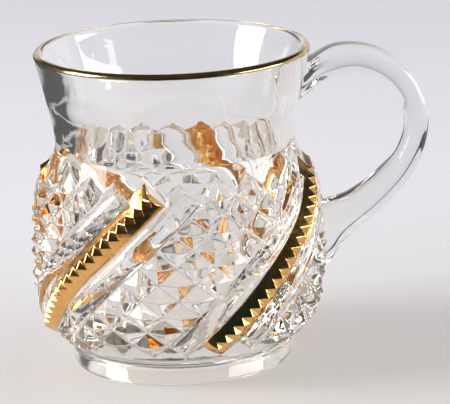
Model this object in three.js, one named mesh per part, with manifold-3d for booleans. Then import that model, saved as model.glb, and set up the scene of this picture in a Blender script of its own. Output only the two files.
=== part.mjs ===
// Handled punch cup in pressed clear glass with fired gilding.
//
// Millimetres, +Z up. The origin is on the bowl's axis in the plane of the ground
// foot, and the handle points along +X. The relief is a diagonal lattice: each place
// on the belly has a lattice position a (lines that climb to the right) and b (lines
// that climb to the left), both in degrees round the axis. Their mean is the angle
// round the axis, and half their difference is the climb up the belly.

import * as THREE from 'three';
import { mergeVertices } from 'three/addons/utils/BufferGeometryUtils.js';
import Module from 'manifold-3d';

const wasm = await Module();
wasm.setup();

// Gilding: a fired film, modelled thicker than life
const gildThickness = 0.35;
const gildGap = 0.3;

// Foot
const footRadius = 25.2;
const footBevel = 0.8;
const footHeight = 3.9;
const waistRadius = 24.2;
const waistRise = 1.4;

// Body: radius of the relief's floor, from the waist up to the lip
const undersideRadius = 28.4;
const undersideRise = 1.9;
const lowBellyRadius = 31.0;
const lowBellyRise = 5.8;
const bellyRadius = 32.4;
const bellyRise = 10.4;
const upperBellyRadius = 31.8;
const upperBellyRise = 13.0;
const shoulderRadius = 30.0;
const shoulderRise = 7.1;
const throatRadius = 28.5;
const throatRise = 4.3;
const collarRadius = 27.65;
const collarRise = 2.4;
const neckRadius = 27.45;
const neckRise = 2.1;
const cupHeight = 73.0;
const lipRadius = 31.3;
const flareShare = 0.43;
const lipWall = 2.3;

// Inside of the bowl: a plain bore, as a plunger leaves it, that opens out at the neck.
// Its opening is given as shares of the way from throat to lip: up, and outwards
const floorHeight = 10.5;
const floorRadius = 13.0;
const floorCurveOut = 6.5;
const floorCurveRise = 1.8;
const boreFootRise = 5.5;
const boreRadius = 23.0;
const boreTaper = 1.0;
const boreOpening = [[0.13, 0.02], [0.26, 0.1], [0.38, 0.2], [0.51, 0.35], [0.68, 0.5]];

// Relief: four swirled groups, each a gilt rib between clear ribs, then diamonds
const swirlGroups = 4;
const diamondsAcross = 3;
const diamondAngle = 15.0;
const diamondRows = 10;
const giltRibAngle = 16.0;
const rightRibAngle = 15.0;
const swirlTurnAngle = -55.3;
const reliefClearFoot = 0.9;
const reliefTopDrop = 5.0;
const reliefEndRise = 1.3;
const swirlEaseAngle = 3.5;
const diamondHeight = 1.75;
const clearRibHeight = 1.75;
const giltRibHeight = 2.25;
const notchShare = 0.5;
const notchesPerDiamond = 2;

// Gilt edges
const giltEdge = 0.05;
const rimGiltOutside = 1.7;
const rimGiltTurns = [30, 60, 90, 110];

// Handle, on the +X side: its two joins, its crown, its widest reach and its elbow.
// It hangs from the rim above and sits on the belly below
const upperJoinDrop = 7.8;
const padSink = 0.9;
const crownOut = 14.55;
const crownRise = 2.2;
const reachOut = 28.95;
const reachShare = 0.627;
const elbowOut = 14.5;
const elbowRise = 7.6;
const lowerJoinRise = 4.8;
const handleBow = 1.4;
const handleTopDepth = 7.0;
const handleSideDepth = 5.2;
const handleLowDepth = 7.2;
const upperPadDepth = 11.5;
const lowerPadDepth = 18.5;
const handleWidth = 7.0;
const handlePadWidth = 10.0;

// Facets
const ringSteps = 48;
const handleSides = 14;
const handleStations = 30;

const deg = Math.PI / 180;
const lipTop = cupHeight - gildGap - gildThickness;

// Smooth curve through stations [x, y] with no overshoot between them
function throughStations(stations) {
  const n = stations.length;
  const slope = [];
  for (let i = 0; i < n - 1; i++) {
    slope.push((stations[i + 1][1] - stations[i][1]) / (stations[i + 1][0] - stations[i][0]));
  }
  const tangent = [slope[0]];
  for (let i = 1; i < n - 1; i++) {
    const turns = slope[i - 1] * slope[i] <= 0;
    tangent.push(turns ? 0 : 2 / (1 / slope[i - 1] + 1 / slope[i]));
  }
  tangent.push(slope[n - 2]);
  return (x) => {
    let i = 0;
    while (i < n - 2 && x > stations[i + 1][0]) i++;
    const [x0, y0] = stations[i];
    const [x1, y1] = stations[i + 1];
    const h = x1 - x0;
    const t = Math.min(Math.max((x - x0) / h, 0), 1);
    const s = 1 - t;
    return y0 * (1 + 2 * t) * s * s + y1 * (3 - 2 * t) * t * t
      + h * (tangent[i] * t * s * s - tangent[i + 1] * t * t * s);
  };
}

// Heights of the stations, each above the one below it
const waistZ = footHeight + waistRise;
const undersideZ = waistZ + undersideRise;
const lowBellyZ = undersideZ + lowBellyRise;
const bellyZ = lowBellyZ + bellyRise;
const upperBellyZ = bellyZ + upperBellyRise;
const shoulderZ = upperBellyZ + shoulderRise;
const throatZ = shoulderZ + throatRise;
const collarZ = throatZ + collarRise;
const neckZ = collarZ + neckRise;
const lipRound = lipWall / 2;
const lipZ = lipTop - lipRound;
const flareZ = neckZ + (lipZ - neckZ) * 0.5;
const flareRadius = neckRadius + (lipRadius - neckRadius) * flareShare;

// Places on the handle's centre line, taken from the neck, the rim and the belly
const upperJoinHeight = cupHeight - upperJoinDrop;
const lowerJoinHeight = bellyZ + lowerJoinRise;
const crownX = neckRadius + crownOut;
const crownHeight = upperJoinHeight + crownRise;
const reachX = neckRadius + reachOut;
const reachHeight = lowerJoinHeight + (upperJoinHeight - lowerJoinHeight) * reachShare;
const elbowX = bellyRadius + elbowOut;
const elbowHeight = lowerJoinHeight + elbowRise;

const outerRadius = throughStations([
  [undersideZ, undersideRadius],
  [lowBellyZ, lowBellyRadius],
  [bellyZ, bellyRadius],
  [upperBellyZ, upperBellyRadius],
  [shoulderZ, shoulderRadius],
  [throatZ, throatRadius],
  [collarZ, collarRadius],
  [neckZ, neckRadius],
  [flareZ, flareRadius],
  [lipZ, lipRadius],
]);

const innerRadius = throughStations([
  [floorHeight, floorRadius],
  [floorHeight + floorCurveRise, floorRadius + floorCurveOut],
  [floorHeight + boreFootRise, boreRadius - boreTaper],
  [upperBellyZ, boreRadius - boreTaper * 0.1],
  [throatZ, boreRadius + boreTaper * 0.25],
  ...boreOpening.map(([up, out]) => [throatZ + (lipZ - throatZ) * up,
    boreRadius + (lipRadius - lipWall - boreRadius) * out]),
  [lipZ, lipRadius - lipWall],
]);

// Climb up the belly in degrees: equal steps look square on the curved surface
const reliefBottom = undersideZ + reliefClearFoot;
const reliefTop = neckZ - reliefTopDrop;
const halfAngle = diamondAngle / 2;
const climbTotal = halfAngle * (diamondRows + 1);
const climbSamples = 400;
const climbTable = [0];
for (let i = 1; i <= climbSamples; i++) {
  const z0 = reliefBottom + (reliefTop - reliefBottom) * (i - 1) / climbSamples;
  const z1 = reliefBottom + (reliefTop - reliefBottom) * i / climbSamples;
  const run = Math.hypot(z1 - z0, outerRadius(z1) - outerRadius(z0));
  climbTable.push(climbTable[i - 1] + run / outerRadius((z0 + z1) / 2));
}
function heightAtClimb(climb) {
  const want = (climb / climbTotal) * climbTable[climbSamples];
  let i = 1;
  while (i < climbSamples && climbTable[i] < want) i++;
  const part = (want - climbTable[i - 1]) / (climbTable[i] - climbTable[i - 1]);
  return reliefBottom + (reliefTop - reliefBottom) * (i - 1 + part) / climbSamples;
}

// Lattice lines round the cup: the left edge of each unit, and what the unit is
const groupAngle = 360 / swirlGroups;
const leftRibAngle = groupAngle - giltRibAngle - rightRibAngle - diamondsAcross * diamondAngle;
const units = [];
for (let g = 0; g < swirlGroups; g++) {
  let a = swirlTurnAngle + g * groupAngle;
  units.push({ kind: 'gilt', a, width: giltRibAngle, group: g });
  a += giltRibAngle;
  units.push({ kind: 'clear', a, width: rightRibAngle });
  a += rightRibAngle;
  for (let d = 0; d < diamondsAcross; d++) {
    units.push({ kind: 'diamonds', a, width: diamondAngle });
    a += diamondAngle;
  }
  units.push({ kind: 'clear', a, width: leftRibAngle });
}
const reach = (diamondRows * diamondAngle) / 2;

// Climb and turn round the axis at lattice position a, b. The swirl eases off towards
// the shoulder and towards the foot.
function latticeClimb(a, b) {
  return Math.min(Math.max((b - a) / 2 + reach / 2 + halfAngle, 0), climbTotal);
}
function latticeTurn(a, b) {
  const share = latticeClimb(a, b) / climbTotal;
  const above = Math.max(0, (share - 0.6) / 0.4);
  const below = Math.max(0, (0.45 - share) / 0.45);
  return (a + b) / 2 + swirlEaseAngle * (Math.pow(below, 1.2) - Math.pow(above, 1.2));
}

// A point of the relief's floor, or off it by lift, at lattice position a, b. The
// relief's top edge stands a little higher than its place, so each end slopes.
function latticePoint(a, b, lift, rise = 0) {
  const z = heightAtClimb(latticeClimb(a, b)) + rise;
  const r = outerRadius(z) + lift;
  const theta = latticeTurn(a, b) * deg;
  return [r * Math.sin(theta), -r * Math.cos(theta), z];
}

// Cross-section of a rib: share of its height at share u of its width
function clearSection(u) {
  const x = 2 * u - 1;
  return Math.pow(Math.max(0, 1 - x * x), 0.6);
}
function roofSection(u) {
  return 1 - Math.abs(2 * u - 1);
}

// Steps along a gilt rib: crests and notches take turns, and both ends are cut off
const notchStep = diamondAngle / notchesPerDiamond / 2;
const ribSteps = Math.round((2 * reach) / notchStep);
function giltHeight(u, step) {
  if (step === 0 || step === ribSteps) return 0;
  const share = roofSection(u);
  const cut = step % 2 === 0 ? 1 - notchShare : 1;
  return giltRibHeight * Math.min(share, cut);
}

class Surface {
  constructor() {
    this.points = [];
    this.faces = [];
  }

  add(p) {
    this.points.push(p);
    return this.points.length - 1;
  }

  face(a, b, c) {
    if (a !== b && b !== c && a !== c) this.faces.push(a, b, c);
  }

  // Joins two rows of [index, place] that run the same way, each sorted by place
  zip(low, high, flip) {
    let i = 0;
    let j = 0;
    while (i < low.length - 1 || j < high.length - 1) {
      const stepLow = j === high.length - 1
        || (i < low.length - 1 && low[i + 1][1] <= high[j + 1][1] + 1e-9);
      const third = stepLow ? low[i + 1][0] : high[j + 1][0];
      if (flip) this.face(low[i][0], high[j][0], third);
      else this.face(low[i][0], third, high[j][0]);
      if (stepLow) i++;
      else j++;
    }
  }

  ring(radius, z, turn = 0) {
    const row = [];
    for (let k = 0; k < ringSteps; k++) {
      const theta = turn + (360 * k) / ringSteps;
      row.push([this.add([radius * Math.sin(theta * deg), -radius * Math.cos(theta * deg), z]), theta]);
    }
    row.push([row[0][0], turn + 360]);
    return row;
  }

  geometry() {
    const g = new THREE.BufferGeometry();
    g.setAttribute('position', new THREE.Float32BufferAttribute(this.points.flat(), 3));
    g.setIndex(this.faces);
    return g;
  }
}

// Ground underside, flat right across inside a fine bevel
function closeGround(s, row, z) {
  const ground = s.add([0, 0, z]);
  for (let k = 0; k < ringSteps; k++) s.face(row[k + 1][0], row[k][0], ground);
}

// The glass body. With grow above 0 it is the body's outer form, grown and filled in,
// which cuts a seat for the handle
function bodySurface(grow) {
  const s = new Surface();
  const count = units.length;

  // Points along each lattice line between two units, sorted by b
  const lines = units.map((unit, i) => {
    const before = units[(i + count - 1) % count];
    const from = unit.a - before.width - reach;
    const fine = unit.kind === 'gilt' || before.kind === 'gilt';
    const step = fine ? diamondAngle / 2 : diamondAngle;
    const places = [from, unit.a - before.width + reach];
    for (let b = unit.a - reach; b <= unit.a + reach + 1e-6; b += step) places.push(b);
    const own = places.sort((p, q) => p - q).filter((b, k, all) => k === 0 || b - all[k - 1] > 0.4);
    const edge = unit.a - before.width + reach - 0.3;
    return own.map((b) => [s.add(latticePoint(unit.a, b, grow, b > edge ? reliefEndRise : 0)), b]);
  });
  const lineOf = (i) => lines[((i % count) + count) % count];

  const topEdge = [];
  const bottomEdge = [];
  units.forEach((unit, i) => {
    const low = unit.a - reach;
    const high = unit.a + reach;
    const last = i === count - 1;
    const right = last ? lineOf(0).map(([v, b]) => [v, b + 360]) : lineOf(i + 1);
    const within = (row) => row.filter(([, b]) => b >= low - 0.3 && b <= high + 0.3);
    const leftRow = within(lineOf(i));
    const rightRow = within(right);
    const bottomRow = [[leftRow[0][0], unit.a]];
    const topRow = [[leftRow[leftRow.length - 1][0], unit.a]];

    if (unit.kind === 'diamonds') {
      for (let d = 0; d < diamondRows; d++) {
        const b0 = low + d * diamondAngle;
        const b1 = b0 + diamondAngle;
        const apex = s.add(latticePoint(unit.a + unit.width / 2, (b0 + b1) / 2, grow + diamondHeight));
        const leftSide = leftRow.filter(([, b]) => b >= b0 - 0.3 && b <= b1 + 0.3);
        const rightSide = rightRow.filter(([, b]) => b >= b0 - 0.3 && b <= b1 + 0.3);
        const loop = [...rightSide, ...leftSide.reverse()].map(([v]) => v);
        loop.forEach((v, k) => s.face(apex, v, loop[(k + 1) % loop.length]));
      }
    } else {
      const gilt = unit.kind === 'gilt';
      const shares = gilt ? [0.25, 0.5, 0.75] : [0.1, 0.3, 0.5, 0.7, 0.9];
      const steps = gilt ? ribSteps : diamondRows;
      let previous = leftRow;
      for (const u of shares) {
        const row = [];
        for (let k = 0; k <= steps; k++) {
          const b = low + ((high - low) * k) / steps;
          const ends = k === 0 || k === steps;
          const lift = gilt ? giltHeight(u, k) : (ends ? 0 : clearRibHeight * clearSection(u));
          const rise = k === steps ? reliefEndRise : 0;
          row.push([s.add(latticePoint(unit.a + u * unit.width, b, grow + lift, rise)), b]);
        }
        if (!gilt) {
          // The clear ribs stop short, with a blunt end
          for (const [k, b] of [[1, low + 3.2], [steps, high - 3.2]]) {
            const lift = clearRibHeight * clearSection(u);
            row.splice(k === 1 ? 1 : row.length - 1, 0,
              [s.add(latticePoint(unit.a + u * unit.width, b, grow + lift)), b]);
          }
        }
        s.zip(previous, row, true);
        bottomRow.push([row[0][0], unit.a + u * unit.width]);
        topRow.push([row[row.length - 1][0], unit.a + u * unit.width]);
        previous = row;
      }
      s.zip(previous, rightRow, true);
    }

    // Edges of the relief, left to right: across the unit's end, then up the next line
    for (const [v, a] of topRow) topEdge.push([v, latticeTurn(a, high)]);
    for (const [v, a] of bottomRow) bottomEdge.push([v, latticeTurn(a, low)]);
    const nextA = unit.a + unit.width;
    for (const [v, b] of right) {
      if (b >= high - 0.3 && b < nextA + reach - 0.3) topEdge.push([v, latticeTurn(nextA, b)]);
      if (b >= low - 0.3 && b < nextA - reach - 0.3) bottomEdge.push([v, latticeTurn(nextA, b)]);
    }
  });
  topEdge.push([topEdge[0][0], topEdge[0][1] + 360]);
  bottomEdge.push([bottomEdge[0][0], bottomEdge[0][1] + 360]);

  // Plain rings below and above the relief
  const foot = [
    [footRadius - footBevel, 0],
    [footRadius, footBevel],
    [footRadius, footHeight - footBevel],
    [footRadius - footBevel, footHeight],
    [waistRadius, waistZ],
    [undersideRadius, undersideZ],
  ];
  const bottomTurn = bottomEdge[0][1];
  const footRows = foot.map(([r, z]) => s.ring(r + grow, z, bottomTurn));
  for (let k = 1; k < footRows.length; k++) s.zip(footRows[k - 1], footRows[k], false);
  s.zip(footRows[footRows.length - 1], bottomEdge, false);

  const neckTurn = topEdge[0][1];
  const neckHeights = [collarZ - 0.9, collarZ + 0.3, neckZ];
  for (const share of [0.25, 0.5, 0.75, 1]) neckHeights.push(neckZ + (lipZ - neckZ) * share);
  const neckRows = neckHeights.map((z) => s.ring(outerRadius(z) + grow, z, neckTurn));
  s.zip(topEdge, neckRows[0], false);
  for (let k = 1; k < neckRows.length; k++) s.zip(neckRows[k - 1], neckRows[k], false);

  let row = neckRows[neckRows.length - 1];
  if (grow > 0) {
    const lid = s.add([0, 0, lipZ]);
    for (let k = 0; k < ringSteps; k++) s.face(row[k][0], row[k + 1][0], lid);
    closeGround(s, footRows[0], -grow);
    return s;
  }

  // Rounded lip, then down the inside to the floor
  const join = (r, z) => {
    const next = s.ring(r, z, neckTurn);
    s.zip(row, next, false);
    row = next;
  };
  for (const turn of [30, 60, 90, 120, 150, 180]) {
    join(lipRadius - lipRound + lipRound * Math.cos(turn * deg), lipZ + lipRound * Math.sin(turn * deg));
  }
  const insideHeights = [0.84, 0.68, 0.51, 0.38, 0.26, 0.13, 0]
    .map((up) => throatZ + (lipZ - throatZ) * up);
  insideHeights.push(upperBellyZ, bellyZ, floorHeight + boreFootRise, floorHeight + boreFootRise * 0.6,
    floorHeight + floorCurveRise, floorHeight + floorCurveRise * 0.4, floorHeight);
  for (const z of insideHeights) join(innerRadius(z), z);
  const floorCentre = s.add([0, 0, floorHeight - 0.3]);
  for (let k = 0; k < ringSteps; k++) s.face(row[k][0], row[k + 1][0], floorCentre);

  closeGround(s, footRows[0], 0);
  return s;
}

// A gilt rib's film: an outer and an inner skin over the serrated glass, joined round
// their edges
function ribGilding(unit) {
  const s = new Surface();
  const low = unit.a - reach;
  const shares = [giltEdge, 0.25, 0.5, 0.75, 1 - giltEdge];
  const places = [];
  for (let k = 0; k <= ribSteps; k++) places.push(k);
  places[0] = 0.3;
  places[ribSteps] = ribSteps - 0.3;
  const heightAt = (u, k) => {
    if (k < 1) return giltHeight(u, 1) * k;
    if (k > ribSteps - 1) return giltHeight(u, ribSteps - 1) * (ribSteps - k);
    return giltHeight(u, k);
  };
  // The film follows the glass where the relief's top edge is raised
  const raisedFrom = ribSteps - leftRibAngle / notchStep;
  const riseAt = (u, k) => {
    const side = k > raisedFrom ? Math.max(0, 1 - u * 4) : 0;
    return reliefEndRise * Math.max(side, k - ribSteps + 1, 0);
  };
  const skin = (lift) => shares.map((u) => places.map((k) => {
    const b = low + notchStep * k;
    const a = unit.a + u * unit.width;
    return [s.add(latticePoint(a, b, heightAt(u, k) + lift, riseAt(u, k))), b];
  }));
  const inner = skin(gildGap);
  const outer = skin(gildGap + gildThickness);
  for (let i = 1; i < shares.length; i++) {
    s.zip(outer[i - 1], outer[i], true);
    s.zip(inner[i - 1], inner[i], false);
  }
  const lastSkin = shares.length - 1;
  s.zip(inner[0], outer[0], true);
  s.zip(inner[lastSkin], outer[lastSkin], false);
  const across = (skinRows, end) => skinRows.map((row, i) => [row[end ? row.length - 1 : 0][0], i]);
  s.zip(across(inner, false), across(outer, false), false);
  s.zip(across(inner, true), across(outer, true), true);
  return s;
}

// The lip's film: an outline over the lip's outer half, turned through a full circle
function rimGilding(turn0) {
  const s = new Surface();
  const outline = [];
  const walk = (lift) => {
    const side = [];
    const below = lipZ - rimGiltOutside + lipRound;
    side.push([outerRadius(below) + lift, below]);
    side.push([lipRadius + lift, lipZ]);
    for (const turn of rimGiltTurns) {
      side.push([lipRadius - lipRound + (lipRound + lift) * Math.cos(turn * deg),
        lipZ + (lipRound + lift) * Math.sin(turn * deg)]);
    }
    return side;
  };
  outline.push(...walk(gildGap + gildThickness));
  outline.push(...walk(gildGap).reverse());
  const rows = outline.map(([r, z]) => s.ring(r, z, turn0));
  rows.forEach((row, k) => s.zip(row, rows[(k + 1) % rows.length], false));
  return s;
}

function toManifold(geometry) {
  const g = geometry.clone();
  g.deleteAttribute('normal');
  g.deleteAttribute('uv');
  const merged = mergeVertices(g, 1e-5);
  return new wasm.Manifold(new wasm.Mesh({
    numProp: 3,
    vertProperties: new Float32Array(merged.attributes.position.array),
    triVerts: new Uint32Array(merged.index.array),
  }));
}

function fromManifold(solid) {
  const mesh = solid.getMesh();
  const g = new THREE.BufferGeometry();
  g.setAttribute('position', new THREE.BufferAttribute(new Float32Array(mesh.vertProperties), 3));
  g.setIndex(new THREE.BufferAttribute(new Uint32Array(mesh.triVerts), 1));
  return g;
}

// The handle: an oval section swept down its centre line, flared into a pad at each
// join and cut to the glass it sits on
function handleSolid(cutter) {
  const upperX = outerRadius(upperJoinHeight);
  const lowerX = outerRadius(lowerJoinHeight) + diamondHeight;
  const centre = new THREE.CatmullRomCurve3([
    new THREE.Vector3(upperX - padSink * 3, 0, upperJoinHeight - padSink),
    new THREE.Vector3(upperX + crownRise, 0, upperJoinHeight + 0.2),
    new THREE.Vector3(crownX, 0, crownHeight),
    new THREE.Vector3((crownX + reachX * 2) / 3 + handleBow, 0, crownHeight * 0.62 + reachHeight * 0.38),
    new THREE.Vector3(reachX, 0, reachHeight),
    new THREE.Vector3((elbowX + reachX) / 2 + handleBow, 0,
      (elbowHeight + reachHeight - handleBow) / 2),
    new THREE.Vector3(elbowX, 0, elbowHeight),
    new THREE.Vector3((elbowX + lowerX) / 2, 0, (elbowHeight + lowerJoinHeight) / 2 - padSink),
    new THREE.Vector3(lowerX, 0, lowerJoinHeight),
    new THREE.Vector3(lowerX - padSink * 3.5, 0, lowerJoinHeight - padSink),
  ], false, 'centripetal');
  const depthAt = throughStations([
    [0, upperPadDepth],
    [0.09, handleTopDepth * 1.04],
    [0.25, handleTopDepth],
    [0.45, handleSideDepth],
    [0.6, handleSideDepth],
    [0.78, handleLowDepth],
    [0.9, lowerPadDepth * 0.6],
    [1, lowerPadDepth],
  ]);
  const widthAt = throughStations([
    [0, handlePadWidth],
    [0.12, handleWidth],
    [0.8, handleWidth],
    [1, handlePadWidth],
  ]);
  const s = new Surface();
  const rows = [];
  for (let k = 0; k <= handleStations; k++) {
    const t = k / handleStations;
    const p = centre.getPointAt(t);
    const along = centre.getTangentAt(t);
    const out = new THREE.Vector3(-along.z, 0, along.x);
    const row = [];
    for (let i = 0; i < handleSides; i++) {
      const turn = (2 * Math.PI * i) / handleSides;
      const q = p.clone().addScaledVector(out, (Math.cos(turn) * depthAt(t)) / 2);
      row.push([s.add([q.x, (Math.sin(turn) * widthAt(t)) / 2, q.z]), i]);
    }
    row.push([row[0][0], handleSides]);
    rows.push(row);
  }
  for (let k = 1; k < rows.length; k++) s.zip(rows[k - 1], rows[k], true);
  const capEnd = (row, p, flip) => {
    const middle = s.add([p.x, p.y, p.z]);
    for (let i = 0; i < handleSides; i++) {
      if (flip) s.face(row[i + 1][0], row[i][0], middle);
      else s.face(row[i][0], row[i + 1][0], middle);
    }
  };
  capEnd(rows[0], centre.getPointAt(0), false);
  capEnd(rows[rows.length - 1], centre.getPointAt(1), true);
  return fromManifold(toManifold(s.geometry()).subtract(cutter));
}

function glass(color, roughness) {
  return new THREE.MeshStandardMaterial({
    color, roughness, metalness: 0, transparent: true, opacity: 0.35,
  });
}
function gilt() {
  return new THREE.MeshStandardMaterial({ color: 0xd69a45, roughness: 0.25, metalness: 1 });
}

const cup = new THREE.Group();
function place(name, geometry, material) {
  const flat = geometry.index ? geometry.toNonIndexed() : geometry;
  flat.computeVertexNormals();
  const mesh = new THREE.Mesh(flat, material);
  mesh.name = name;
  cup.add(mesh);
}

const body = bodySurface(0);
place('cup_body', body.geometry(), glass(0xf2f3f0, 0.03));
place('handle', handleSolid(toManifold(bodySurface(gildGap).geometry())), glass(0xf0f1ee, 0.03));
const neckTurn = latticeTurn(units[0].a, units[0].a + reach);
place('rim_gilding', rimGilding(neckTurn).geometry(), gilt());
units.filter((unit) => unit.kind === 'gilt').forEach((unit, i) => {
  place(`rib_gilding_${i + 1}`, ribGilding(unit).geometry(), gilt());
});

export default cup;
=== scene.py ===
"""Looks of the handled punch cup: pressed clear glass with a fired gilt lip and gilt ribs.

Lengths are written in millimetres and multiplied by MM where a mesh is finished. The
origin is on the bowl's axis in the plane of the foot, and the handle points along +X.
"""

import math

import bmesh
import bpy
from mathutils import Matrix, Vector


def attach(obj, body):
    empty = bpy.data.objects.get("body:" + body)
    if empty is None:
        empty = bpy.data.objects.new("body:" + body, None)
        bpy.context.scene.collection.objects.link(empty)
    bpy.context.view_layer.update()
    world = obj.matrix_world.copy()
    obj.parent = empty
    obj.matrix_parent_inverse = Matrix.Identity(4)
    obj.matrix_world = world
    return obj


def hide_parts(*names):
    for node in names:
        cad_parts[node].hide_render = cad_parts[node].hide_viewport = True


MM = 0.001

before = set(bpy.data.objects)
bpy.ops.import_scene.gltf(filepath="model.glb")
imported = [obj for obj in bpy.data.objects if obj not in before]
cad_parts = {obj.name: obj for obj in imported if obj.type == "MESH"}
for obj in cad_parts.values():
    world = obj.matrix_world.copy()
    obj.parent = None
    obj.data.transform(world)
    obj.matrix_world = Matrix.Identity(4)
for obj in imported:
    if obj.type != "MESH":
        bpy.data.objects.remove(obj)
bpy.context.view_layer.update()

# Foot and body, the same sizes as the solids
foot_radius = 25.2
foot_height = 3.9
waist_radius = 24.2
underside_radius = 28.4
underside_z = 7.2
low_belly_radius = 31.0
low_belly_z = 13.0
belly_radius = 32.4
belly_z = 23.4
upper_belly_radius = 31.8
upper_belly_z = 36.4
shoulder_radius = 30.0
shoulder_z = 43.5
throat_radius = 28.5
throat_z = 47.8
collar = ((49.0, 28.1), (50.0, 27.7), (50.8, 27.48))
collar_z = 50.8
neck_radius = 27.45
neck_z = 52.3
lip_radius = 31.3
flare_share = 0.43
lip_top = 72.9
lip_wall = 2.3
floor_z = 10.5
floor_radius = 13.0
bore_foot_z = 16.0
bore_radius = 23.0
bore_taper = 1.0
bore_opening = (
    (52.0, 23.1), (54.0, 23.35), (56.0, 23.75), (58.0, 24.3), (60.0, 25.0), (64.0, 26.1),
)
lip_round = lip_wall / 2
lip_z = lip_top - lip_round
flare_z = neck_z + (lip_z - neck_z) * 0.5
flare_radius = neck_radius + (lip_radius - neck_radius) * flare_share

# Profiles as rings of radius and height: the foot down to its ground ring, the hollow
# under the foot, and the bowl's floor
foot_profile = (
    (waist_radius + 2.6, 6.4), (waist_radius + 0.7, 5.6), (waist_radius, 5.0),
    (waist_radius + 0.1, foot_height + 0.2), (foot_radius - 0.45, foot_height),
    (foot_radius - 0.1, foot_height - 0.3), (foot_radius, foot_height - 0.9),
    (foot_radius, 1.1), (foot_radius - 0.15, 0.45), (foot_radius - 0.6, 0.05),
    (foot_radius - 1.0, 0.0),
)
hollow_depth = 3.4
hollow_profile = (
    (22.0, 0.0), (21.75, 0.08), (21.55, 0.4), (21.3, 2.3), (21.0, 2.8), (20.2, 3.1),
    (14.0, 3.3), (7.0, hollow_depth),
)
bowl_floor_profile = (
    (21.5, 14.5), (20.6, 13.2), (19.0, 12.0), (16.8, 11.2), (13.0, 10.7), (7.0, 10.5),
)
bowl_floor_dip = 0.15
collar_shares = (0.25, 0.5, 0.75)
neck_shares = (0.0, 0.12, 0.24, 0.36, 0.48, 0.6, 0.7, 0.8, 0.9, 1.0)
collar_steps = 4
bore_step = 1.0
lip_turn_step = 20

# Relief: four swirled groups, each a gilt rib between clear ribs, then diamonds
groups = 4
diamond_angle = 15.0
diamond_rows = 10
steps_per_diamond = 4
gilt_angle = 16.0
right_rib_angle = 15.0
left_rib_angle = 14.0
diamonds_across = 3
swirl_turn = -55.3
swirl_ease = 3.5
relief_bottom = underside_z + 0.9
relief_top = neck_z - 5.0
relief_end_rise = 1.3
diamond_height = 1.75
clear_height = 1.75
gilt_height = 2.4
notch_share = 0.5
reach = diamond_rows * diamond_angle / 2
clear_fullness = 0.6
clear_lines = 8
facet_lines = 4
rib_end = 0.3
row_shift = 1.0
swirl_ease_above = 0.6
swirl_ease_below = 0.45
swirl_ease_power = 1.2
edge_round = 0.2
edge_angle = 14
edge_margin = 0.5
film_sunk = 0.03
film_thickness = 0.08
rim_film_drop = 0.6


def through_stations(stations):
    """Smooth curve through stations (x, y) with no overshoot between them."""
    count = len(stations)
    slope = []
    for (x0, y0), (x1, y1) in zip(stations, stations[1:]):
        slope.append((y1 - y0) / (x1 - x0))
    tangent = [slope[0]]
    for before, after in zip(slope, slope[1:]):
        turns = before * after <= 0
        tangent.append(0 if turns else 2 / (1 / before + 1 / after))
    tangent.append(slope[-1])

    def at(x):
        i = 0
        while i < count - 2 and x > stations[i + 1][0]:
            i += 1
        (x0, y0), (x1, y1) = stations[i], stations[i + 1]
        h = x1 - x0
        t = min(max((x - x0) / h, 0), 1)
        s = 1 - t
        return (y0 * (1 + 2 * t) * s * s + y1 * (3 - 2 * t) * t * t
                + h * (tangent[i] * t * s * s - tangent[i + 1] * t * t * s))

    return at


outer_radius = through_stations([
    (underside_z, underside_radius),
    (low_belly_z, low_belly_radius),
    (belly_z, belly_radius),
    (upper_belly_z, upper_belly_radius),
    (shoulder_z, shoulder_radius),
    (throat_z, throat_radius),
    *collar,
    (neck_z, neck_radius),
    (flare_z, flare_radius),
    (lip_z, lip_radius),
])
inner_radius = through_stations([
    (floor_z, floor_radius),
    (floor_z + 1.8, floor_radius + 6.5),
    (bore_foot_z, bore_radius - bore_taper),
    (upper_belly_z, bore_radius - bore_taper * 0.1),
    (throat_z, bore_radius + bore_taper * 0.1),
    *bore_opening,
    (lip_z, lip_radius - lip_wall),
])

# Climb up the belly in degrees: equal steps look square on the curved surface
climb_total = diamond_angle / 2 * (diamond_rows + 1)
climb_samples = 400
climb_table = [0.0]
for sample in range(climb_samples):
    z0 = relief_bottom + (relief_top - relief_bottom) * sample / climb_samples
    z1 = relief_bottom + (relief_top - relief_bottom) * (sample + 1) / climb_samples
    run = math.hypot(z1 - z0, outer_radius(z1) - outer_radius(z0))
    climb_table.append(climb_table[-1] + run / outer_radius((z0 + z1) / 2))


def height_at_climb(climb):
    want = climb / climb_total * climb_table[-1]
    i = 1
    while i < climb_samples and climb_table[i] < want:
        i += 1
    part = (want - climb_table[i - 1]) / (climb_table[i] - climb_table[i - 1])
    return relief_bottom + (relief_top - relief_bottom) * (i - 1 + part) / climb_samples


def lattice_point(a, b, lift, rise):
    """Point on the relief's floor, or off it by lift, at lattice position a, b."""
    climb = min(max((b - a) / 2 + reach / 2 + diamond_angle / 2, 0), climb_total)
    share = climb / climb_total
    above = max(0.0, (share - swirl_ease_above) / (1 - swirl_ease_above))
    below = max(0.0, (swirl_ease_below - share) / swirl_ease_below)
    eased = swirl_ease * (below ** swirl_ease_power - above ** swirl_ease_power)
    turn = math.radians((a + b) / 2 + eased)
    z = height_at_climb(climb) + rise
    r = outer_radius(z) + lift
    return Vector((r * math.sin(turn), -r * math.cos(turn), z))


# Units round the cup: what each is, its left edge and its width
units = []
for group in range(groups):
    a = swirl_turn + group * 360 / groups
    units.append(("gilt", a, gilt_angle))
    a += gilt_angle
    units.append(("clear", a, right_rib_angle))
    a += right_rib_angle
    for _ in range(diamonds_across):
        units.append(("diamonds", a, diamond_angle))
        a += diamond_angle
    units.append(("clear", a, left_rib_angle))


def clear_section(u):
    return max(0.0, 1 - (2 * u - 1) ** 2) ** clear_fullness


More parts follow.
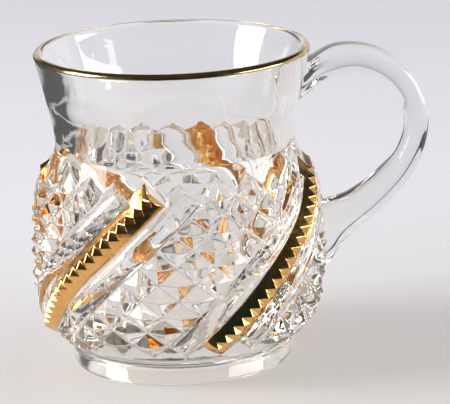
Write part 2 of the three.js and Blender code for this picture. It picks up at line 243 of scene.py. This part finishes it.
def relief_height(kind, u, k):
    """Height off the relief's floor at share u of a unit's width and step k along it."""
    last = diamond_rows * steps_per_diamond
    if k == 0 or k > last - 1:
        return 0.0
    if kind == "diamonds":
        v = (k % steps_per_diamond) / steps_per_diamond
        return diamond_height * min(1 - abs(2 * u - 1), 1 - abs(2 * v - 1))
    if kind == "clear":
        return clear_height * clear_section(u)
    cut = 1 - notch_share if k % 2 == 0 else 1.0
    return gilt_height * min(1 - abs(2 * u - 1), cut)


def is_ridge(kind, u, k):
    """True where a quad's corner lies on a crest that runs across the quads."""
    if kind == "diamonds":
        v = (k % steps_per_diamond) / steps_per_diamond
        return abs(abs(2 * u - 1) - abs(2 * v - 1)) < 1e-6
    if kind == "gilt":
        return (k % 2 == 0 and abs(abs(2 * u - 1) - 0.5) < 1e-6) or (k % 2 == 1 and u == 0.5)
    return False


def spread(u):
    """Bunches a clear rib's lines towards its sides, where it curves most."""
    return 0.5 * u + 0.25 * (1 - math.cos(math.pi * u))


def add_unit(bm, index, lift):
    """One unit's strip: a flat grid, cut along its crests and laid on the belly."""
    kind, a, width = units[index]
    across = clear_lines if kind == "clear" else facet_lines
    along = diamond_rows * steps_per_diamond
    made = bmesh.ops.create_grid(bm, x_segments=across, y_segments=along + 1, size=0.5)
    verts = made["verts"]
    place = {}
    for v in verts:
        u = round((v.co.x + 0.5) * across) / across
        k = round((v.co.y + 0.5) * (along + 1))
        if k >= along:
            k -= 1
            # The row before the last is where a rib ends bluntly. Elsewhere it is doubled
            if k == along - 1 and kind != "diamonds" and 0 < u < 1:
                k += rib_end
        place[v] = (u, k)
    ridge = [v for v, (u, k) in place.items() if is_ridge(kind, u, k)]
    if ridge:
        bmesh.ops.connect_verts(bm, verts=ridge)
    start = swirl_turn + index * diamond_angle - reach + row_shift
    for v, (u, k) in place.items():
        share = spread(u) if kind == "clear" else u
        b = start + k * diamond_angle / steps_per_diamond
        if kind == "gilt" and 0 < u < 1:
            b -= row_shift
        on_top_edge = k == along or (u == 0 and k >= along - steps_per_diamond)
        v.co = lattice_point(a + share * width, b, lift + relief_height(kind, share, k),
                             relief_end_rise if on_top_edge else 0.0)
    if kind == "gilt":
        for face in {f for v in verts for f in v.link_faces}:
            if max(place[v][1] for v in face.verts) < along:
                face.material_index = 1 + index // (len(units) // groups)
    return verts


def next_ring(bm, edges, radius, z):
    """Extrudes an edge loop into a ring of that radius at that height, turn by turn."""
    made = bmesh.ops.extrude_edge_only(bm, edges=edges)["geom"]
    for v in made:
        if isinstance(v, bmesh.types.BMVert):
            turn = math.atan2(v.co.x, -v.co.y)
            v.co = (radius * math.sin(turn), -radius * math.cos(turn), z)
    return [e for e in made if isinstance(e, bmesh.types.BMEdge)]


def blend_rings(bm, edges, z_end, steps, lift):
    """Rings from the relief's zigzag edge to a level ring, all on the body's surface."""
    for step in range(1, steps + 1):
        made = bmesh.ops.extrude_edge_only(bm, edges=edges)["geom"]
        for v in made:
            if isinstance(v, bmesh.types.BMVert):
                z = v.co.z + (z_end - v.co.z) / (steps - step + 1)
                turn = math.atan2(v.co.x, -v.co.y)
                r = outer_radius(z) + lift
                v.co = (r * math.sin(turn), -r * math.cos(turn), z)
        edges = [e for e in made if isinstance(e, bmesh.types.BMEdge)]
    return edges


def close_loop(bm, edges, z):
    """Closes a ring with one point on the axis."""
    made = bmesh.ops.extrude_edge_only(bm, edges=edges)["geom"]
    verts = [v for v in made if isinstance(v, bmesh.types.BMVert)]
    bmesh.ops.pointmerge(bm, verts=verts, merge_co=(0, 0, z))


def outer_form(lift):
    """Relief, foot and neck up to the lip, open at the lip. Returns it and the lip's edges."""
    bm = bmesh.new()
    for index in range(len(units)):
        add_unit(bm, index, lift)
    bmesh.ops.remove_doubles(bm, verts=bm.verts, dist=0.01)
    relief = set(bm.faces)
    border = [e for e in bm.edges if e.is_boundary]
    middle = (relief_bottom + relief_top) / 2
    top = [e for e in border if e.verts[0].co.z > middle]
    bottom = [e for e in border if e.verts[0].co.z < middle]
    edges = blend_rings(bm, top, collar_z, collar_steps, lift)
    heights = [collar_z + (neck_z - collar_z) * share for share in collar_shares]
    heights += [neck_z + (lip_z - neck_z) * share for share in neck_shares]
    for z in heights:
        edges = next_ring(bm, edges, outer_radius(z) + lift, z)
    foot = blend_rings(bm, bottom, underside_z, 1, lift)
    for radius, z in foot_profile:
        foot = next_ring(bm, foot, radius + lift, z - (lift if z == 0 else 0))
    for face in bm.faces:
        if face not in relief:
            face.material_index = 0
    return bm, edges, foot


def finish_mesh(bm, name):
    """Turns a bmesh in millimetres into a shaded object at the origin."""
    bmesh.ops.scale(bm, vec=(MM, MM, MM), verts=bm.verts)
    mesh = bpy.data.meshes.new(name)
    bm.to_mesh(mesh)
    bm.free()
    mesh.shade_smooth()
    obj = bpy.data.objects.new(name, mesh)
    bpy.context.scene.collection.objects.link(obj)
    return obj


# Camera: the photograph's place, aim and roll
target = Vector((0, 0, 36.5)) * MM
distance = 669.0 * MM
elevation = math.radians(14.735)
azimuth = math.radians(-8.0)
roll = math.radians(2.188)
image_width_px = 450
sensor_width = 36.0
focal_px = 2914.4
aim_right = math.atan(47.64 / focal_px)
aim_down = math.atan(0.715 / focal_px)
back = Vector((math.sin(azimuth) * math.cos(elevation),
               -math.cos(azimuth) * math.cos(elevation), math.sin(elevation)))
right = Vector((math.cos(azimuth), math.sin(azimuth), 0))
up = back.cross(right)
basis = Matrix((right, up, back)).transposed().to_4x4()
camera_data = bpy.data.cameras.new("camera")
camera_data.sensor_width = sensor_width
camera_data.lens = focal_px / image_width_px * sensor_width
camera_data.clip_start = 0.01
camera = bpy.data.objects.new("camera", camera_data)
camera.matrix_world = (Matrix.Translation(target + back * distance) @ basis
                       @ Matrix.Rotation(-roll, 4, "Z")
                       @ Matrix.Rotation(-aim_right, 4, "Y")
                       @ Matrix.Rotation(-aim_down, 4, "X"))
bpy.context.scene.collection.objects.link(camera)
bpy.context.scene.camera = camera


# Materials
def new_material(name):
    material = bpy.data.materials.new(name)
    material.use_nodes = True
    material.node_tree.nodes.clear()
    return material, material.node_tree


def feed(tree, socket, value):
    """Joins another node's output to an input, or sets the input to a fixed value."""
    if isinstance(value, bpy.types.NodeSocket):
        tree.links.new(value, socket)
    else:
        socket.default_value = value


def compute(tree, operation, first, second):
    """What a maths node makes of two values."""
    node = tree.nodes.new("ShaderNodeMath")
    node.operation = operation
    feed(tree, node.inputs[0], first)
    feed(tree, node.inputs[1], second)
    return node.outputs[0]


def map_range(tree, value, low, high, at_low, at_high, smooth=False):
    """A value's place between low and high, as a value between at_low and at_high."""
    node = tree.nodes.new("ShaderNodeMapRange")
    if smooth:
        node.interpolation_type = "SMOOTHSTEP"
    node.inputs["From Min"].default_value = low
    node.inputs["From Max"].default_value = high
    node.inputs["To Min"].default_value = at_low
    node.inputs["To Max"].default_value = at_high
    tree.links.new(value, node.inputs["Value"])
    return node.outputs["Result"]


def mix_colours(tree, share, first, second):
    node = tree.nodes.new("ShaderNodeMixRGB")
    tree.links.new(share, node.inputs["Fac"])
    feed(tree, node.inputs["Color1"], first)
    feed(tree, node.inputs["Color2"], second)
    return node.outputs["Color"]


def mix_shaders(tree, share, first, second):
    node = tree.nodes.new("ShaderNodeMixShader")
    for socket, value in zip(node.inputs, (share, first, second)):
        tree.links.new(value, socket)
    return node.outputs[0]


def distance_along(tree, vector, direction):
    node = tree.nodes.new("ShaderNodeVectorMath")
    node.operation = "DOT_PRODUCT"
    node.inputs[1].default_value = direction
    tree.links.new(vector, node.inputs[0])
    return node.outputs["Value"]


def noise_texture(tree, vector, scale, detail):
    node = tree.nodes.new("ShaderNodeTexNoise")
    node.inputs["Scale"].default_value = scale
    node.inputs["Detail"].default_value = detail
    tree.links.new(vector, node.inputs["Vector"])
    return node


def bump_node(tree, height, strength, distance):
    node = tree.nodes.new("ShaderNodeBump")
    node.inputs["Strength"].default_value = strength
    node.inputs["Distance"].default_value = distance
    tree.links.new(height, node.inputs["Height"])
    return node


# Glass: its mottle and streaks, its ground foot ring, the light that its shadow lets through
# at the foot and above it, the colour of its thickness, and how many turns of light in it
# are followed. Each step of a path counts for a part of a turn
glass_index = 1.5
mottle_scale = 130.0
streak_scale = 5.0
glass_roughness = 0.02
ground_roughness = 0.2
ground_from = 0.00002
ground_to = 0.0001
foot_light = (0.8, 0.79, 0.765, 1)
foot_light_to = 0.011
belly_light = (0.44, 0.435, 0.43, 1)
belly_light_from = 0.016
thick_colour = (0.73, 0.68, 0.54, 1)
thick_density = 10.0
turns_followed = 2.5
turns_per_step = 0.46


def glass_material(name, tint, ripple, streak):
    """Clear glass with a faint ripple, warmer where it is thick. Lamps shine through it."""
    material, tree = new_material(name)
    nodes, links = tree.nodes, tree.links
    out = nodes.new("ShaderNodeOutputMaterial")
    glass = nodes.new("ShaderNodeBsdfPrincipled")
    glass.inputs["Base Color"].default_value = (*tint, 1)
    glass.inputs["Transmission Weight"].default_value = 1.0
    glass.inputs["IOR"].default_value = glass_index
    coords = nodes.new("ShaderNodeTexCoord").outputs["Object"]
    split = nodes.new("ShaderNodeSeparateXYZ")
    links.new(coords, split.inputs[0])
    height = split.outputs["Z"]
    mottle = noise_texture(tree, coords, mottle_scale, 2.0).outputs["Fac"]
    polished = map_range(tree, mottle, 0.0, 1.0, 0.0, glass_roughness)
    ground = map_range(tree, height, ground_from, ground_to, ground_roughness, 0.0)
    links.new(compute(tree, "MAXIMUM", polished, ground), glass.inputs["Roughness"])
    rippled = bump_node(tree, mottle, ripple, MM)
    # Faint upright streaks, which the mould and the fire polish leave round the cup
    level = nodes.new("ShaderNodeVectorMath")
    level.operation = "MULTIPLY"
    level.inputs[1].default_value = (1.0, 1.0, 0.0)
    links.new(coords, level.inputs[0])
    outward = nodes.new("ShaderNodeVectorMath")
    outward.operation = "NORMALIZE"
    links.new(level.outputs["Vector"], outward.inputs[0])
    streaks = noise_texture(tree, outward.outputs["Vector"], streak_scale, 0.0).outputs["Fac"]
    drawn = bump_node(tree, streaks, streak, MM)
    links.new(rippled.outputs["Normal"], drawn.inputs["Normal"])
    links.new(drawn.outputs["Normal"], glass.inputs["Normal"])
    # A shadow lets some light through, and more of it through the foot
    above = map_range(tree, height, foot_light_to, belly_light_from, 0.0, 1.0)
    clear = nodes.new("ShaderNodeBsdfTransparent")
    links.new(mix_colours(tree, above, foot_light, belly_light), clear.inputs["Color"])
    path = nodes.new("ShaderNodeLightPath")
    lit = mix_shaders(tree, path.outputs["Is Shadow Ray"], glass.outputs[0], clear.outputs[0])
    # Light that runs on round the wall, past what a render follows, is let out of it
    steps = compute(tree, "MULTIPLY", path.outputs["Ray Depth"], turns_per_step)
    turns = compute(tree, "MAXIMUM", path.outputs["Glossy Depth"], steps)
    trapped = compute(tree, "GREATER_THAN", turns, turns_followed)
    freed = nodes.new("ShaderNodeBsdfTransparent")
    links.new(mix_shaders(tree, trapped, lit, freed.outputs[0]), out.inputs["Surface"])
    thick = nodes.new("ShaderNodeVolumeAbsorption")
    thick.inputs["Color"].default_value = thick_colour
    thick.inputs["Density"].default_value = thick_density
    links.new(thick.outputs[0], out.inputs["Volume"])
    return material


# Gold: where its mottling is thin and where it is full, and its range of roughness
gold_thin_at = 0.3
gold_full_at = 0.72
gold_smooth = 0.08
gold_rough = 0.26


def gilt_material(name, scale, thin, full):
    """Fired gold with brush mottling and softer, thinner patches."""
    material, tree = new_material(name)
    nodes, links = tree.nodes, tree.links
    out = nodes.new("ShaderNodeOutputMaterial")
    gold = nodes.new("ShaderNodeBsdfPrincipled")
    gold.inputs["Metallic"].default_value = 1.0
    coords = nodes.new("ShaderNodeTexCoord").outputs["Object"]
    noise = noise_texture(tree, coords, scale, 4.0)
    noise.inputs["Roughness"].default_value = 0.6
    mottle = noise.outputs["Fac"]
    ramp = nodes.new("ShaderNodeValToRGB")
    ramp.color_ramp.elements[0].position = gold_thin_at
    ramp.color_ramp.elements[0].color = (*thin, 1)
    ramp.color_ramp.elements[1].position = gold_full_at
    ramp.color_ramp.elements[1].color = (*full, 1)
    links.new(mottle, ramp.inputs["Fac"])
    links.new(ramp.outputs["Color"], gold.inputs["Base Color"])
    links.new(map_range(tree, mottle, 0.0, 1.0, gold_smooth, gold_rough), gold.inputs["Roughness"])
    brushed = bump_node(tree, mottle, 0.25, 0.2 * MM)
    links.new(brushed.outputs["Normal"], gold.inputs["Normal"])
    links.new(gold.outputs[0], out.inputs["Surface"])
    return material


pressed_glass = glass_material("pressed_glass_clear", (0.995, 0.995, 0.99), 0.02, 0.05)
handle_glass = glass_material("handle_glass_clear", (0.985, 0.985, 0.985), 0.015, 0.0)
rib_gold = gilt_material("rib_gold", 700.0, (0.8, 0.42, 0.13), (0.97, 0.57, 0.22))
rim_gold = gilt_material("rim_gold", 500.0, (0.6, 0.42, 0.17), (0.84, 0.62, 0.3))

# Pressed body: outer form, rounded lip, inside and floor in one closed skin
body_bm, lip_edges, foot_edges = outer_form(0.0)
for turn in range(lip_turn_step, 181, lip_turn_step):
    angle = math.radians(turn)
    lip_edges = next_ring(body_bm, lip_edges,
                          lip_radius - lip_round + lip_round * math.cos(angle),
                          lip_z + lip_round * math.sin(angle))
inside_z = lip_z
while inside_z > bore_foot_z:
    inside_z -= bore_step
    lip_edges = next_ring(body_bm, lip_edges, inner_radius(inside_z), inside_z)
for radius, z in bowl_floor_profile:
    lip_edges = next_ring(body_bm, lip_edges, radius, z)
close_loop(body_bm, lip_edges, floor_z - bowl_floor_dip)
for radius, z in hollow_profile:
    foot_edges = next_ring(body_bm, foot_edges, radius, z)
close_loop(body_bm, foot_edges, hollow_depth)
bmesh.ops.recalc_face_normals(body_bm, faces=body_bm.faces)
sharp = [e for e in body_bm.edges
         if e.calc_face_angle(0) > math.radians(edge_angle)
         and relief_bottom - 1 < e.verts[0].co.z < relief_top + relief_end_rise + edge_margin
         and e.verts[0].co.xy.length > outer_radius(e.verts[0].co.z) - edge_margin]
bmesh.ops.bevel(body_bm, geom=sharp, offset=edge_round, offset_type="OFFSET", segments=2,
                profile=0.5, affect="EDGES", clamp_overlap=True, material=-1,
                loop_slide=True)


def gilt_film(source, name, wanted):
    """A thin gold skin over the wanted faces: it reaches a little into the glass."""
    film = source.copy()
    film.faces.ensure_lookup_table()
    away = [f for f in film.faces if not wanted(f)]
    bmesh.ops.delete(film, geom=away, context="FACES")
    film.normal_update()
    moves = {v: v.normal.copy() for v in film.verts}
    for v, normal in moves.items():
        v.co -= normal * film_sunk
    bmesh.ops.solidify(film, geom=list(film.faces), thickness=-film_thickness)
    bmesh.ops.recalc_face_normals(film, faces=film.faces)
    for face in film.faces:
        face.material_index = 0
    return finish_mesh(film, name)


def on_rim(face):
    middle = face.calc_center_median()
    return middle.z > lip_z - rim_film_drop and middle.xy.length > lip_radius - lip_round


rib_films = []
for group in range(groups):
    rib_films.append(gilt_film(body_bm, f"rib_gold_{group + 1}",
                               lambda f: f.material_index == group + 1))
rim_film = gilt_film(body_bm, "rim_gold", on_rim)
for face in body_bm.faces:
    face.material_index = 0
body = finish_mesh(body_bm, "pressed_body")

# Handle: outline stations (outer x, outer z, inner x, inner z, width) from the neck
# round to the belly
handle_stations = [
    (26.0, 65.4, 26.0, 58.0, 9.6),
    (29.2, 66.9, 28.9, 59.0, 8.6),
    (32.2, 68.5, 32.4, 61.2, 7.4),
    (35.6, 70.3, 36.0, 62.7, 7.0),
    (39.2, 71.1, 39.4, 63.6, 7.0),
    (43.4, 70.8, 42.8, 63.8, 7.0),
    (47.7, 69.5, 45.6, 63.0, 7.0),
    (51.6, 67.1, 48.2, 61.8, 7.0),
    (54.8, 64.0, 50.4, 60.0, 7.0),
    (57.6, 59.1, 52.6, 57.1, 7.0),
    (58.9, 54.3, 53.7, 53.6, 7.0),
    (58.9, 50.3, 53.8, 50.6, 7.0),
    (58.0, 46.0, 53.1, 47.6, 7.0),
    (55.9, 41.4, 51.4, 44.2, 7.0),
    (52.9, 36.9, 48.8, 41.8, 7.0),
    (49.2, 33.1, 45.7, 39.2, 7.0),
    (45.5, 30.0, 42.0, 36.9, 7.2),
    (41.8, 27.4, 38.8, 35.3, 7.8),
    (37.7, 23.8, 35.8, 34.6, 8.8),
    (34.6, 19.6, 33.4, 34.4, 9.6),
    (31.0, 17.5, 31.0, 34.0, 9.8),
]
handle_sides = 36
handle_smooth = 5
handle_square = 0.6
crease_place = 2.1
crease_length = 0.8
# Depth, place across the handle and width of each crease
creases = ((1.1, 0.62, 0.2), (1.0, -0.05, 0.22))
seat_depth = 0.12
seat_foot_z = 0.2
handle_edge_angle = 38


def station_at(t):
    """Handle outline at place t, smoothed through the stations."""
    i = min(int(t), len(handle_stations) - 2)
    s = t - i
    rows = [handle_stations[min(max(i + k, 0), len(handle_stations) - 1)] for k in (-1, 0, 1, 2)]
    weights = (-0.5 * s + s * s - 0.5 * s ** 3, 1 - 2.5 * s * s + 1.5 * s ** 3,
               0.5 * s + 2 * s * s - 1.5 * s ** 3, -0.5 * s * s + 0.5 * s ** 3)
    return [sum(w * row[c] for w, row in zip(weights, rows)) for c in range(5)]


handle_bm = bmesh.new()
circle = bmesh.ops.create_circle(handle_bm, cap_ends=False, segments=handle_sides, radius=1.0)
ring = circle["verts"]
ring_edges = list({e for v in ring for e in v.link_edges})


def tool_dent(t, c):
    """Depth of the two creases that the tool left where the handle's top end was stuck on."""
    along = math.exp(-((t - crease_place) / crease_length) ** 2)
    across = sum(depth * math.exp(-((c - at) / width) ** 2) for depth, at, width in creases)
    return along * across


def lay_ring(verts, t, place):
    """Puts a ring of points round the handle at place t. Their places are on a unit circle."""
    x_out, z_out, x_in, z_in, width = station_at(t)
    middle = Vector(((x_out + x_in) / 2, 0, (z_out + z_in) / 2))
    half = Vector(((x_out - x_in) / 2, 0, (z_out - z_in) / 2))
    for v in verts:
        c, s = place[v]
        outward = math.copysign(abs(c) ** handle_square, c)
        sideways = abs(s) ** handle_square * (width / 2 - tool_dent(t, c))
        v.co = middle + half * outward + Vector((0, math.copysign(sideways, s), 0))


place = {v: (v.co.x, v.co.y) for v in ring}
lay_ring(ring, 0, place)
bmesh.ops.contextual_create(handle_bm, geom=ring_edges)
total = (len(handle_stations) - 1) * handle_smooth
for step in range(1, total + 1):
    made = bmesh.ops.extrude_edge_only(handle_bm, edges=ring_edges)["geom"]
    new = [v for v in made if isinstance(v, bmesh.types.BMVert)]
    ring_edges = [e for e in made if isinstance(e, bmesh.types.BMEdge)]
    fresh = {}
    for v in new:
        for e in v.link_edges:
            other = e.other_vert(v)
            if other in place:
                fresh[v] = place[other]
    place = fresh
    lay_ring(new, step / handle_smooth, place)
bmesh.ops.contextual_create(handle_bm, geom=ring_edges)
bmesh.ops.recalc_face_normals(handle_bm, faces=handle_bm.faces)
handle = finish_mesh(handle_bm, "handle_loop")

# The handle ends just inside the pressed glass, so that the two read as one glass
seat_bm, seat_lip, seat_foot = outer_form(-seat_depth)
close_loop(seat_bm, seat_lip, lip_z)
close_loop(seat_bm, seat_foot, seat_foot_z)
bmesh.ops.recalc_face_normals(seat_bm, faces=seat_bm.faces)
seat = finish_mesh(seat_bm, "handle_seat")
cut = handle.modifiers.new("seat", "BOOLEAN")
cut.operation = "DIFFERENCE"
cut.solver = "EXACT"
cut.object = seat
bpy.context.view_layer.update()
evaluated = handle.evaluated_get(bpy.context.evaluated_depsgraph_get())
cut_mesh = bpy.data.meshes.new_from_object(evaluated)
handle.modifiers.clear()
handle.data = cut_mesh
bpy.data.objects.remove(seat)
handle.data.shade_smooth()
handle.data.set_sharp_from_angle(angle=math.radians(handle_edge_angle))

for piece, material, slot, nodes in (
    (body, pressed_glass, "pressed_glass", ["cup_body"]),
    (handle, handle_glass, "handle_glass", ["handle"]),
    (rim_film, rim_gold, "rim_gilt", ["rim_gilding"]),
    *((film, rib_gold, "rib_gilt", [f"rib_gilding_{i + 1}"]) for i, film in enumerate(rib_films)),
):
    piece.data.materials.clear()
    piece.data.materials.append(material)
    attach(piece, "root")
    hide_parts(*nodes)
    if piece is not handle:
        weigh = piece.modifiers.new("even_facets", "WEIGHTED_NORMAL")
        weigh.weight = 80
        weigh.keep_sharp = True


# Share of the studio's reflected look in light that comes through the glass, and in light
# that has turned in it from once to three times
through_share = 0.45
mixed_share = 0.45
mixed_from = 1.0
mixed_to = 3.0


def reflection_share(tree):
    """1 for what a gloss or glass shows by reflection, 0 for what is seen straight on."""
    path = tree.nodes.new("ShaderNodeLightPath")
    turned = path.outputs["Glossy Depth"]
    through = compute(tree, "MULTIPLY", path.outputs["Is Transmission Ray"], through_share)
    carried = compute(tree, "MAXIMUM", path.outputs["Is Glossy Ray"], through)
    reflected = compute(tree, "MINIMUM", carried, turned)
    # After several turns in the glass, light has come from all round
    mixed = map_range(tree, turned, mixed_from, mixed_to, 1.0, mixed_share)
    return compute(tree, "MULTIPLY", reflected, mixed)


def with_painted_card(tree, share, colour, painted_card_colour):
    """Painted dark reflection: a colour that turns to the card colour by share, only in what glass
    and gold reflect or let through. No card is built.
    """
    path = tree.nodes.new("ShaderNodeLightPath")
    bent = compute(tree, "MAXIMUM", path.outputs["Is Glossy Ray"],
                   path.outputs["Is Transmission Ray"])
    return mix_colours(tree, compute(tree, "MULTIPLY", share, bent), colour, painted_card_colour)


# Floor: its colour runs from the front over a middle stop to the back. This is painted light:
# darker and warmer at the front and brightest at the middle stop, as the studio light falls on it.
# The painted card's edges are measured along the card's side direction
floor_size = 4.0
floor_drop = 0.0001
floor_front = (0.805, 0.757, 0.703, 1)
floor_middle = (0.945, 0.935, 0.975, 1)
floor_back = (0.91, 0.89, 0.945, 1)
floor_middle_at = 0.4
floor_front_y = -0.1
floor_back_y = 0.5
# Painted reflection: the edge past which reflections see the floor painted the dark room colour,
# and that colour
painted_room_edge_y = (-0.062, -0.05)
painted_room_colour = (0.008, 0.026, 0.034, 1)
# Painted dark reflection of a card that is not built: its side direction, edges and colour on the
# floor, and its colour upright
painted_card_side = (0.99, -0.139, 0.0)
painted_card_edge = (-0.082, -0.068)
painted_card_on_floor = (0.11, 0.11, 0.113, 1)
painted_card_upright = (0.08, 0.08, 0.085, 1)


def floor_material():
    material, tree = new_material("floor_pale")
    nodes, links = tree.nodes, tree.links
    out = nodes.new("ShaderNodeOutputMaterial")
    matt = nodes.new("ShaderNodeBsdfPrincipled")
    matt.inputs["Roughness"].default_value = 0.6
    matt.inputs["Specular IOR Level"].default_value = 0.2
    coords = nodes.new("ShaderNodeTexCoord").outputs["Object"]
    split = nodes.new("ShaderNodeSeparateXYZ")
    links.new(coords, split.inputs[0])
    # Painted light: colour stops darker and warmer at the front, brightest at the middle stop
    ramp = nodes.new("ShaderNodeValToRGB")
    ramp.color_ramp.elements[0].color = floor_front
    ramp.color_ramp.elements[1].color = floor_back
    ramp.color_ramp.elements.new(floor_middle_at).color = floor_middle
    links.new(map_range(tree, split.outputs["Y"], floor_front_y, floor_back_y, 0.0, 1.0),
              ramp.inputs["Fac"])
    # Painted reflection: in what glass and gold reflect, the floor past its front edge is painted
    # the dark colour of an unlit room beyond a table edge
    painted_room_share = compute(tree, "MULTIPLY",
                     map_range(tree, split.outputs["Y"], *painted_room_edge_y, 1.0, 0.0, smooth=True),
                     reflection_share(tree))
    floor_and_painted_room = mix_colours(tree, painted_room_share, ramp.outputs["Color"], painted_room_colour)
    # A dark card beside the table, out of the frame, darkens the glass's left edge: a painted dark
    # reflection, as the floor is painted the card colour only where glass and gold see it
    painted_card_share = map_range(tree, distance_along(tree, coords, painted_card_side), *painted_card_edge, 1.0, 0.0,
                     smooth=True)
    links.new(with_painted_card(tree, painted_card_share, floor_and_painted_room, painted_card_on_floor), matt.inputs["Base Color"])
    links.new(matt.outputs[0], out.inputs["Surface"])
    return material


floor_bm = bmesh.new()
bmesh.ops.create_circle(floor_bm, cap_ends=True, segments=96, radius=floor_size)
floor_mesh = bpy.data.meshes.new("floor")
floor_bm.to_mesh(floor_mesh)
floor_bm.free()
floor = bpy.data.objects.new("floor", floor_mesh)
floor.location.z = -floor_drop
bpy.context.scene.collection.objects.link(floor)
floor.data.materials.append(floor_material())

# World: an even pale studio. Reflections show it as it is lit: a bright backdrop behind
# the cup, and an unlit room in front and overhead, which is warmer overhead
studio_light = (0.5, 0.5, 0.51, 1)
backdrop_colour = (0.78, 0.77, 0.8, 1)
backdrop_side = (0.5, 0.866, 0.0)
backdrop_edge = (0.55, 0.75)
backdrop_top = (0.22, 0.42)
room_low = (0.006, 0.026, 0.034, 1)
room_overhead = (0.05, 0.042, 0.03, 1)
room_overhead_from = (0.5, 0.8)
# Painted dark reflection: side direction and edges of the upright card in the world
painted_upright_side = (-0.99, 0.139, 0.0)
painted_upright_edge = (0.45, 0.65)


def studio_world():
    world = bpy.data.worlds.new("studio")
    world.use_nodes = True
    tree = world.node_tree
    nodes, links = tree.nodes, tree.links
    nodes.clear()
    out = nodes.new("ShaderNodeOutputWorld")
    sky = nodes.new("ShaderNodeBackground")
    coords = nodes.new("ShaderNodeTexCoord").outputs["Generated"]
    split = nodes.new("ShaderNodeSeparateXYZ")
    links.new(coords, split.inputs[0])
    height = split.outputs["Z"]
    behind = map_range(tree, distance_along(tree, coords, backdrop_side), *backdrop_edge,
                       0.0, 1.0, smooth=True)
    low = map_range(tree, height, *backdrop_top, 1.0, 0.0, smooth=True)
    overhead = map_range(tree, height, *room_overhead_from, 0.0, 1.0)
    room = mix_colours(tree, overhead, room_low, room_overhead)
    backdrop = mix_colours(tree, compute(tree, "MULTIPLY", behind, low), room, backdrop_colour)
    path = nodes.new("ShaderNodeLightPath")
    straight = compute(tree, "MAXIMUM", path.outputs["Is Camera Ray"],
                       path.outputs["Is Transmission Ray"])
    fill = mix_colours(tree, straight, studio_light, backdrop_colour)
    seen = mix_colours(tree, reflection_share(tree), fill, backdrop)
    # The dark card stands upright as well, as glass and gold on the left show it: a painted dark
    # reflection in the world, which only glass and gold see
    painted_card_share = map_range(tree, distance_along(tree, coords, painted_upright_side), *painted_upright_edge, 0.0, 1.0,
                     smooth=True)
    links.new(with_painted_card(tree, painted_card_share, seen, painted_card_upright), sky.inputs["Color"])
    links.new(sky.outputs[0], out.inputs["Surface"])
    return world


bpy.context.scene.world = studio_world()

softbox_aim = Vector((0, 0, 0.03))


def softbox(name, place, size, power):
    data = bpy.data.lights.new(name, "AREA")
    data.shape = "RECTANGLE"
    data.size, data.size_y = size
    data.energy = power
    lamp = bpy.data.objects.new(name, data)
    lamp.location = place
    lamp.rotation_euler = (softbox_aim - Vector(place)).to_track_quat("-Z", "Y").to_euler()
    bpy.context.scene.collection.objects.link(lamp)


softbox("left_softbox", (-1.1, 0.03, 0.4), (0.6, 0.78), 13.8)
softbox("right_softbox", (1.03, -0.376, 0.22), (0.9, 0.43), 8.6)

bpy.context.scene.view_settings.view_transform = "Standard"
